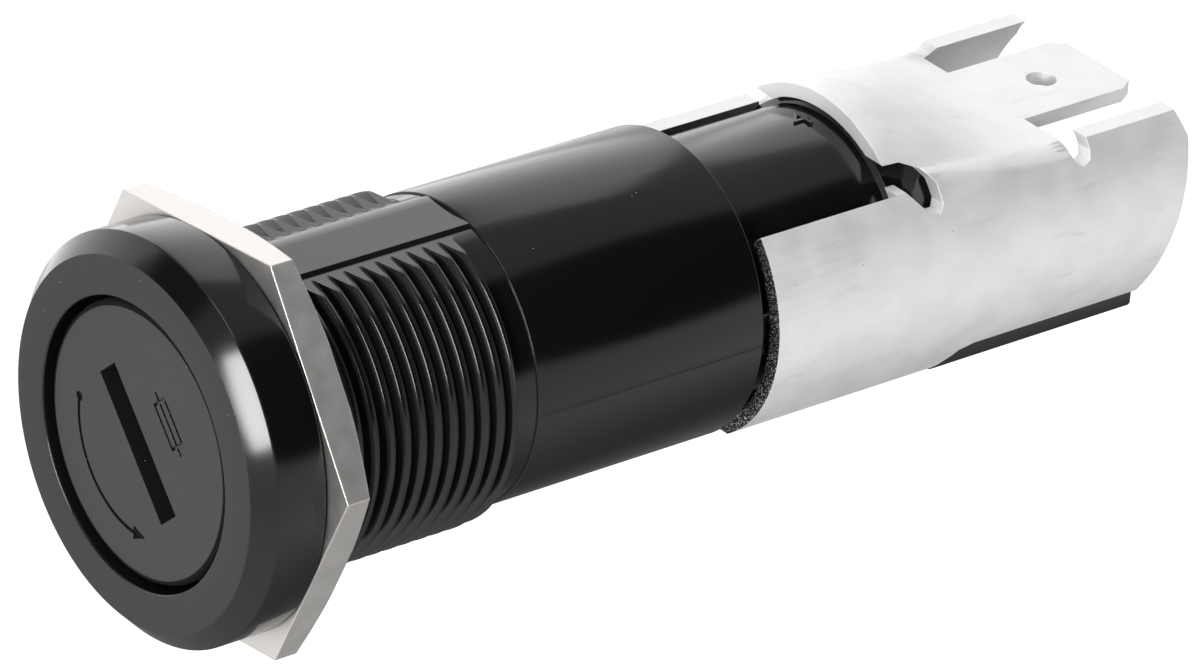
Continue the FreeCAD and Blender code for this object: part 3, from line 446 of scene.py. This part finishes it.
def barrel_ring(place, radius_at):
    """A ring with the flat and the rib. Its place and radius may follow the angle, so where it
    leaves the flat is found in a few rounds."""
    worn = -rib_half + rib_wear[0]
    top = [(-rib_half, rib_level - rib_wear[1])]
    top += [(x, rib_level) for x in spread(worn, rib_half, rib_columns - 1)] + [(rib_half, rib_level)]
    first = first_guess
    for _ in range(settling):
        first = flat_end(radius_at(first))
    last = -180 - first
    for _ in range(settling):
        last = -180 - flat_end(radius_at(last))
    near_x = radius_at(first) * math.cos(math.radians(first))
    far_x = radius_at(last) * math.cos(math.radians(last))
    near = [(x, flat_level) for x in spread(rib_foot, near_x, flat_columns)]
    far = [(x, flat_level) for x in spread(far_x, -rib_foot, flat_columns)[1:] + [-rib_foot]]
    ring = []
    angles = round_angles(first)
    angles[-1] = last
    for angle in angles:
        around = math.radians(angle)
        radius = radius_at(angle)
        ring.append((radius * math.cos(around), place(angle), radius * math.sin(around)))
    back = [(x, place(first), z) for x, z in near]
    front = [(x, place(last), z) for x, z in far]
    middle = []
    for i, (x, z) in enumerate(top):
        share = i / rib_columns
        middle.append((x, place(last) + (place(first) - place(last)) * share, z))
    return middle + back + ring + front


neck_ring = barrel_ring(lambda angle: 0.0, lambda angle: neck)
column_angles = [math.atan2(z, x) for x, _, z in neck_ring]


def plain_ring(radius, place, seam=False):
    """A round ring whose columns line up with those of the barrel."""
    ring = []
    for angle in column_angles:
        lift = seam_rise if seam and abs(math.sin(angle)) < 1e-6 else 0.0
        ring.append(((radius + lift) * math.cos(angle), place, (radius + lift) * math.sin(angle)))
    return ring


# %% [markdown]
# ## Thread
# A metric thread is a groove of 60 degrees that climbs by its pitch in each turn. The rows of the
# grid climb with it, so crests and roots fall exactly on rows and stay sharp. On the flat the rows
# slip back to where they began, which nobody sees because a flat has no relief. Rows that would
# pass an end of the thread are squeezed into a few thousandths of a millimetre there.

# %% Rings of the thread
crest_soft, root_soft = 0.02, 0.04
groove = [(0.0, crest - crest_soft), (0.03, crest), (0.18, crest), (0.21, crest - crest_soft),
          (0.35, (crest + root) / 2), (0.49, root + root_soft), (0.55, root + 0.008),
          (0.605, root), (0.66, root + 0.008), (0.72, root + root_soft),
          (0.86, (crest + root) / 2)]
relief, run_in, lead_slope, squeeze = crest - 0.08, 0.7, 1.4, 0.006


def thread_rings():
    """Rings that climb with the thread, held between its two ends."""
    rings = []
    turns = math.ceil((thread_end - thread_start) / pitch) + 1
    for turn in range(turns):
        for phase, level in groove:
            base = thread_start + (turn - 1 + phase) * pitch

            def place(angle):
                climbed = base + pitch * (90 - angle) / 360
                held = min(max(climbed, thread_start), thread_end)
                return held + (climbed - held) * squeeze

            def radius(angle):
                here = place(angle)
                fade = min(1.0, max(0.0, (here - thread_start) / run_in))
                full = relief + (level - relief) * fade
                return min(full, neck + max(0.0, thread_end - here) * lead_slope)

            rings.append(barrel_ring(place, radius))
    return rings


# %% [markdown]
# ## Flange, body and bore
# The round parts are short profiles. The body steps down to the tube, and a thin skirt goes on
# behind the tube's end. It lies under the metal crown and makes the sheet's side notch look black.

# %% Rings of the whole moulding
recess, recess_floor, bevel, back_lip, front_edge = 7.8, -0.2, 1.05, 9.4, 0.12
rivet_hole, spring_bore, spring_wall, spring_front = 1.23, 4.1, 39.4, 31.5
fuse_bore, fuse_front, contact_bore, contact_front, carrier_bore = 3.75, 15.0, 5.6, 8.5, 6.6


def barrel_rows():
    """The threaded barrel, from the flange to the body."""
    foot = barrel_ring(lambda angle: 0.0, lambda angle: relief)
    end = barrel_ring(lambda angle: body_start, lambda angle: neck)
    return [foot] + thread_rings() + [end]


front_profile = rounded([
    (recess, recess_floor), (recess, front_ring, front_edge),
    (flange - bevel, front_ring, front_edge), (flange, front_ring + bevel, 0.15),
    (flange, 0, front_edge), (back_lip, 0),
])
rear_profile = rounded([
    (neck + 0.02, body_start), (body, body_start, 0.07), (body, shoulder, 0.12), (tube, shoulder, 0.1),
    (tube, collar_start), (collar, collar_start + 0.2), (collar, skirt_end, 0.15),
    (skirt_bore, skirt_end, 0.1), (skirt_bore, tube_end), (rivet_hole, tube_end),
])
bore_profile = [
    (rivet_hole, spring_wall), (spring_bore, spring_wall), (spring_bore, spring_front),
    (fuse_bore, spring_front), (fuse_bore, fuse_front), (contact_bore, fuse_front),
    (contact_bore, contact_front), (carrier_bore, contact_front), (carrier_bore, recess_floor),
]
rings = [plain_ring(radius, place) for radius, place in front_profile]
rings += barrel_rows()
rings += [plain_ring(radius, place, radius > seam_from) for radius, place in rear_profile]
rings += [plain_ring(radius, place) for radius, place in bore_profile]
moulding = from_rings("housing_moulding", rings, "black_plastic")
print("moulding:", len(moulding.data.polygons), "faces")

# %% [markdown]
# ## Blocks and cuts
# The tray behind the tube, the two pads on its sides, the foot under it and the cavities are plain
# blocks, joined to the moulding or cut out of it. The manifold solver is exact on closed meshes, so
# the rings keep their shape. The real mould has small radii on these blocks, so their long edges
# are bevelled.


# %% Join and cut
def block(low, high, soft=0.0):
    """A box between two corners in millimetres, with its edges rounded by soft."""
    mesh = bmesh.new()
    bmesh.ops.create_cube(mesh, size=1.0)
    for vert in mesh.verts:
        vert.co = [(a + (b - a) * (c + 0.5)) * MM for a, b, c in zip(low, high, vert.co)]
    if soft:
        bmesh.ops.bevel(mesh, geom=mesh.edges, offset=soft * MM, segments=2, profile=0.5,
                        affect="EDGES")
    return as_object("block", mesh, "black_plastic")


def tooling(target, tool, operation, degrees=sharp_degrees):
    """Join a tool to the target, or cut it out, and remove the tool. Edges past the angle in
    degrees are shaded sharp."""
    change = target.modifiers.new("tooling", "BOOLEAN")
    change.solver = "MANIFOLD"
    change.operation = operation
    change.object = tool
    depsgraph = bpy.context.evaluated_depsgraph_get()
    shaped = bpy.data.meshes.new_from_object(target.evaluated_get(depsgraph))
    target.modifiers.clear()
    old, target.data = target.data, shaped
    bpy.data.meshes.remove(old)
    bpy.data.objects.remove(tool)
    target.data.set_sharp_from_angle(angle=math.radians(degrees))


def turned(tool, degrees):
    """Turn a tool about the barrel's axis, from the right towards the top."""
    tool.data.transform(Matrix.Rotation(math.radians(-degrees), 4, "Y"))
    return tool


# %% Tray, pads and cavities
in_body = shoulder - 0.3
pads = ((-7.65, in_body, -1.2), (7.65, 40.4, 1.2), 0.15)
foot = ((-4.48, in_body, -6.38), (4.48, 34.6, -4.2), 0.05)
tray_root = ((-4.0, 39.6, -6.6), (4.0, 47.6, -5.4), 0.1)
tray = ((-4.8, 45.4, -7.5), (4.8, 59.9, -5.2), 0.2)
for low, high, soft in (pads, foot, tray_root, tray):
    tooling(moulding, block(low, high, soft), "UNION")

pad_hollow = ((-6.8, 34.5, -0.9), (6.8, spring_wall, 0.9))
tray_hollow = ((-3.9, 47.6, -6.6), (3.9, 60.8, 0.0))
arm_groove = ((0.0, contact_front, -1.7), (contact_bore, 34.5, 1.7))
arm_window = ((3.0, 33.9, -1.7), (9.0, 36.7, 1.7))
for low, high in (pad_hollow, tray_hollow, arm_groove, arm_window):
    tooling(moulding, block(low, high), "DIFFERENCE")

lug_entry, lug_angles = ((5.0, -0.6, -1.55), (7.5, 4.45, 1.55)), (60, 240)
for degrees in lug_angles:
    tooling(moulding, turned(block(*lug_entry), degrees), "DIFFERENCE")
print("moulding:", len(moulding.data.polygons), "faces")

# %% [markdown]
# ## Number on the tube
# Small raised numbers tell the mould's cavities apart, and one stands on top of the tube. It is a
# text curve turned into a mesh, laid on the tube and joined to it. Its points are merged first,
# because the manifold solver needs a closed mesh.


# %% Raised number
number_place, number_height, number_foot, number_rise = 39.0, 2.2, 6.9, 0.12


def raised_number(figures, height, low, high):
    """A number that reads across the barrel, from one level up to another, in millimetres."""
    curve = bpy.data.curves.new("figures", "FONT")
    curve.body = figures
    curve.size = height * MM
    curve.align_x, curve.align_y = "CENTER", "CENTER"
    curve.extrude = (high - low) / 2 * MM
    curve.resolution_u = 3
    written = bpy.data.objects.new("figures", curve)
    mesh = bmesh.new()
    mesh.from_mesh(written.to_mesh())
    written.to_mesh_clear()
    bpy.data.objects.remove(written)
    bmesh.ops.remove_doubles(mesh, verts=mesh.verts, dist=merge)
    quarter_turn = Matrix.Rotation(math.radians(90), 3, "Z")
    to_place = Vector((0, number_place, (low + high) / 2)) * MM
    bmesh.ops.rotate(mesh, verts=mesh.verts, matrix=quarter_turn)
    bmesh.ops.translate(mesh, verts=mesh.verts, vec=to_place)
    print("figures, open edges:", sum(not edge.is_manifold for edge in mesh.edges))
    return as_object("figures", mesh, "black_plastic")


number = raised_number("4", number_height, number_foot, tube + number_rise)
tooling(moulding, number, "UNION")
in_place_of(moulding, "housing", "housing")

# %% [markdown]
# ## Sign on the cap, edge of the sheet
# The cap carries a small engraved sign for a fuse next to its slot. It is cut into a copy of the
# packed cap, whose flat faces are then shaded flat, so that the strokes leave no shadows beside
# them. On the terminal sheet the wing's long edge was sheared square to the sheet, so it leans
# inwards, and one cut gives a copy of the sheet that lean.


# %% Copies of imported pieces
line, engraved, sign_angle, cut_degrees = 0.17, 0.12, 43, 15
sign_low, sign_high, sign_half, lead_half, lap = 2.72, 3.92, 1.3, 1.75, 0.08
edge_tool, edge_angle = ((7.2, 30.8, 0.0), (8.9, 40.3, 1.0)), 38.6


def copy_of(node):
    """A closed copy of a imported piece, ready for cuts."""
    mesh = bmesh.new()
    mesh.from_mesh(frame["nodes"][node].data)
    bmesh.ops.remove_doubles(mesh, verts=mesh.verts, dist=merge)
    return as_object(node + "_detailed", mesh, slots[node])


cap = copy_of("carrier_cap")
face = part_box("carrier_cap")[0][1] / MM
sign_middle = (sign_low + sign_high) / 2
for low_x, low_z, high_x, high_z in [
    (sign_low, -sign_half, sign_low + line, sign_half),
    (sign_high - line, -sign_half, sign_high, sign_half),
    (sign_low + lap, -sign_half, sign_high - lap, -sign_half + line),
    (sign_low + lap, sign_half - line, sign_high - lap, sign_half),
    (sign_middle - line / 2, -lead_half, sign_middle + line / 2, lead_half),
]:
    stroke = block((low_x, face - 0.5, low_z), (high_x, face + engraved, high_z))
    tooling(cap, turned(stroke, sign_angle), "DIFFERENCE", cut_degrees)
for polygon in cap.data.polygons:
    polygon.use_smooth = abs(polygon.normal.y) < 0.999
in_place_of(cap, "carrier_cap", "carrier")

sheet = copy_of("terminal_sheet")
tooling(sheet, turned(block(*edge_tool), edge_angle), "DIFFERENCE", cut_degrees)
in_place_of(sheet, "terminal_sheet", "housing")
for made in (moulding, cap, sheet):
    print(made.name, len(made.data.polygons), "faces")

# %% [markdown]
# ## Floor and light
# The part is held by its panel, so the pale floor lies well below it and only closes the view. The
# floor and the room behind it look white to the camera, and to anything that mirrors them, without
# throwing that much light on the part. Under the part, what mirrors the floor sees a painted shadow.
# A tall softbox behind the left side draws the bright band on top of the body. A low one on the left
# and a small, strong one in front give the flange's bevel its two highlights, and one overhead fills
# the rough sheet.


# %% Floor
floor_half, floor_depth = 3.0, 0.25
# The painted shadow that mirrors see on the floor under the part: its middle, and where its fade
# starts and ends, in metres.
painted_shadow_middle, painted_shadow_inner, painted_shadow_outer = (-0.12, 0.25, 0.0), 0.12, 0.5


def shown(start):
    """1 for rays from the camera, from shiny surfaces and through glass. 0 for soft light."""
    camera, glossy, glass = [start.node("LightPath", output=f"Is {kind} Ray")
                             for kind in ("Camera", "Glossy", "Transmission")]
    return start.maths("MAXIMUM", start.maths("MAXIMUM", camera, glossy), glass)


def pale(name, level, glow):
    """A pale floor that closes to white. What mirrors it sees a painted shadow: its glow fades
    under the part, which keeps the part's underside dark."""
    finish = Finish(name, Base_Color=grey(level), Roughness=0.9, Emission_Strength=1.0)
    inputs = {0: finish.place, 1: painted_shadow_middle}
    away = finish.start.node("VectorMath", {"operation": "DISTANCE"}, inputs, "Value")
    mirrored_outside_painted_shadow = away.step(painted_shadow_inner, painted_shadow_outer) * shown(finish.start)
    camera_ray = finish.start.node("LightPath", output="Is Camera Ray")
    bright = finish.start.maths("MAXIMUM", camera_ray, mirrored_outside_painted_shadow)
    finish.link("Emission Color", bright.between(grey(0.0), grey(glow)))
    return finish.material


floor_mesh = bmesh.new()
bmesh.ops.create_grid(floor_mesh, x_segments=1, y_segments=1, size=floor_half)
floor_data = bpy.data.meshes.new("floor")
floor_mesh.to_mesh(floor_data)
floor_mesh.free()
floor_data.materials.append(pale("pale_floor", 0.15, 1.0))
floor = bpy.data.objects.new("floor", floor_data)
floor.location = (0, 0, -floor_depth)
bpy.context.scene.collection.objects.link(floor)


# %% Lamps
part_middle, lamp_distance = Vector((0, 0.028, 0)), 0.6


def softbox(name, away, length, width, brightness, along):
    """An area lamp that faces the part, with its length laid along a direction. Its brightness is
    what a mirror on the part would show."""
    data = bpy.data.lights.new(name, "AREA")
    data.shape = "RECTANGLE"
    data.size, data.size_y = length, width
    data.energy = brightness * math.pi * length * width
    lamp = bpy.data.objects.new(name, data)
    back = Vector(away).normalized()
    side = back.cross(Vector(along)).normalized()
    axes = Matrix((side.cross(back), side, back)).transposed().to_4x4()
    lamp.matrix_world = Matrix.Translation(part_middle + back * lamp_distance) @ axes
    bpy.context.scene.collection.objects.link(lamp)


lamps = [
    ("rear_left_softbox", (-0.71, 0.56, 0.43), 0.8, 0.17, 1.4, (-0.64, 0, -0.77)),
    ("left_softbox", (-0.96, -0.1, 0.12), 0.8, 0.6, 1.1, (0, 0, 1)),
    ("front_softbox", (0.42, -0.82, 0.35), 0.4, 0.12, 28.0, (0.59, 0, -0.8)),
    ("overhead_softbox", (0.15, 0.05, 0.99), 0.25, 0.25, 4.0, (1, 0, 0)),
]
for lamp in lamps:
    softbox(*lamp)
print("lamps:", len(lamps))

# %% [markdown]
# ## Room
# The backdrop is white where the camera, metal and glass see it, and the ceiling over it is dimmer.
# Two places stay dark, as if black cards stood there. Their reflections are the deep blacks on top
# of the body and on the flange's bevel. The room's soft light is lower than what is seen of it.


# %% World
ceiling, soft_light = 0.55, 0.6
wall_top, ceiling_start = 0.1, 0.6
cards = [((0.66, 0.57, 0.48), 26, 32), ((-0.42, -0.62, 0.66), 12, 20)]
world = bpy.data.worlds.new("studio")
world.use_nodes = True
bpy.context.scene.world = world
sky = Wire(world.node_tree)
way = sky.node("TexCoord", output="Generated")
height = sky.node("SeparateXYZ", None, {"Vector": way}, "Z")
backdrop_light = height.step(wall_top, ceiling_start).between(1.0, ceiling)
room = shown(sky).between(soft_light, backdrop_light)
for direction, inner, outer in cards:
    centre = tuple(Vector(direction).normalized())
    facing = sky.node("VectorMath", {"operation": "DOT_PRODUCT"}, {0: way, 1: centre}, "Value")
    card = facing.step(math.cos(math.radians(outer)), math.cos(math.radians(inner)))
    room = room * (1 - card)
strength = sky.node("LightPath", output="Is Camera Ray").between(room, 1.0)
backdrop = world.node_tree.nodes["Background"]
backdrop.inputs["Color"].default_value = grey(1.0)
world.node_tree.links.new(strength.socket, backdrop.inputs["Strength"])
print("dark cards in the room:", len(cards))
